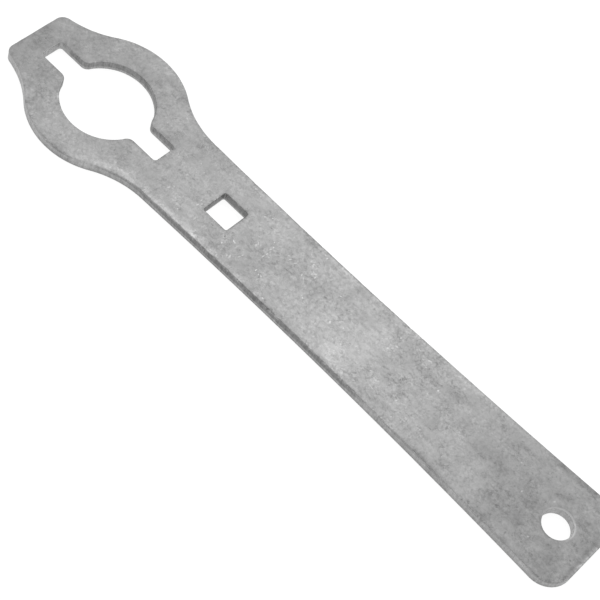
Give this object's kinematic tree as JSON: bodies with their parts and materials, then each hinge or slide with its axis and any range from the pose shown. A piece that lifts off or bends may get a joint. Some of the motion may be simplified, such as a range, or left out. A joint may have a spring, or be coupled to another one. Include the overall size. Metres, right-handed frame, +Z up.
{
  "type": "fork cap wrench",
  "caption": "Flat steel wrench with a slotted ring head for fork caps, a square hole for a drive peg, a waisted handle and a hole to hang it by.",
  "frame": {"origin": "middle of the underside, halfway along the wrench's length", "axes": "+X along the handle away from the ring head, +Y across the plate, +Z up out of the top face"},
  "size_m": [0.231, 0.0506, 0.0032],
  "materials": {
    "plated_steel": "matte zinc plating, tumbled and mottled, with fine handling marks and darker cut walls"
  },
  "bodies": {
    "root": {"wrench_plate": "plated_steel"}
  },
  "joints": []
}
